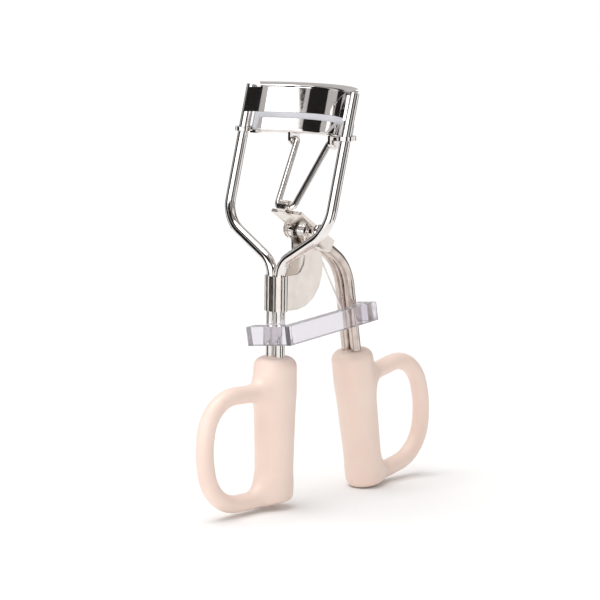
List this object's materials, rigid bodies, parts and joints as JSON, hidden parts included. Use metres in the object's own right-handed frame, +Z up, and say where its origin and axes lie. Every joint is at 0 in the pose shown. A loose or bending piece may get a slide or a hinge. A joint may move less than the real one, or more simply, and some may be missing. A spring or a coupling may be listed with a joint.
{
  "type": "eyelash curler",
  "caption": "Scissor-type eyelash curler with curved jaws, silicone pad, looped plastic finger grips and a clear storage clip.",
  "frame": {"origin": "middle of the flat foot of the front handle's grip", "axes": "+Z up the front handle towards the jaws, +X across the jaws along the pivot, +Y from the front handle to the rear handle"},
  "size_m": [0.041, 0.0934, 0.1129],
  "materials": {
    "peach_plastic": "satin peach moulded plastic",
    "plated_wire": "bright plated steel wire",
    "plated_sheet": "bright plated pressed steel",
    "silicone": "translucent white silicone",
    "clear_plastic": "clear polished plastic"
  },
  "bodies": {
    "frame": {"front_handle": "peach_plastic", "guide_wire_left": "plated_wire", "guide_wire_right": "plated_wire", "upper_jaw": "plated_sheet", "pivot_bracket": "plated_sheet", "pivot_rivet": "plated_sheet", "spacer_bush_left": "plated_sheet", "spacer_bush_right": "plated_sheet"},
    "lever": {"lever_plate": "plated_sheet", "rear_wire_left": "plated_wire", "rear_wire_right": "plated_wire", "rear_handle": "peach_plastic", "return_spring": "plated_wire"},
    "lower_jaw": {"lower_jaw": "plated_sheet", "silicone_pad": "silicone"},
    "link": {"link_wire": "plated_wire"},
    "clip": {"storage_clip": "clear_plastic"}
  },
  "joints": [
    {"name": "lever_pivot", "type": "hinge", "parent": "frame", "child": "lever", "pos_m": [0, 0.011, 0.0719], "axis": [1, 0, 0], "range_deg": [0, 32]},
    {"name": "jaw_slide", "type": "slide", "parent": "frame", "child": "lower_jaw", "axis": [0, 0.2538, 0.9673], "range_m": [-0.0063, 0]},
    {"name": "link_pivot", "type": "hinge", "parent": "lever", "child": "link", "pos_m": [0, 0.00314, 0.07905], "axis": [1, 0, 0], "range_deg": [-36.5, 0]},
    {"name": "clip_release", "type": "hinge", "parent": "frame", "child": "clip", "pos_m": [-0.0015, 0, 0.0455], "axis": [0, 0, -1], "range_deg": [0, 84]}
  ],
  "couplings": [
    {"joint": "jaw_slide", "follows": "lever_pivot", "m_per_rad": -0.0112},
    {"joint": "link_pivot", "follows": "lever_pivot", "ratio": -1.1375},
    {"joint": "clip_release", "follows": "lever_pivot", "ratio": 2.6}
  ]
}
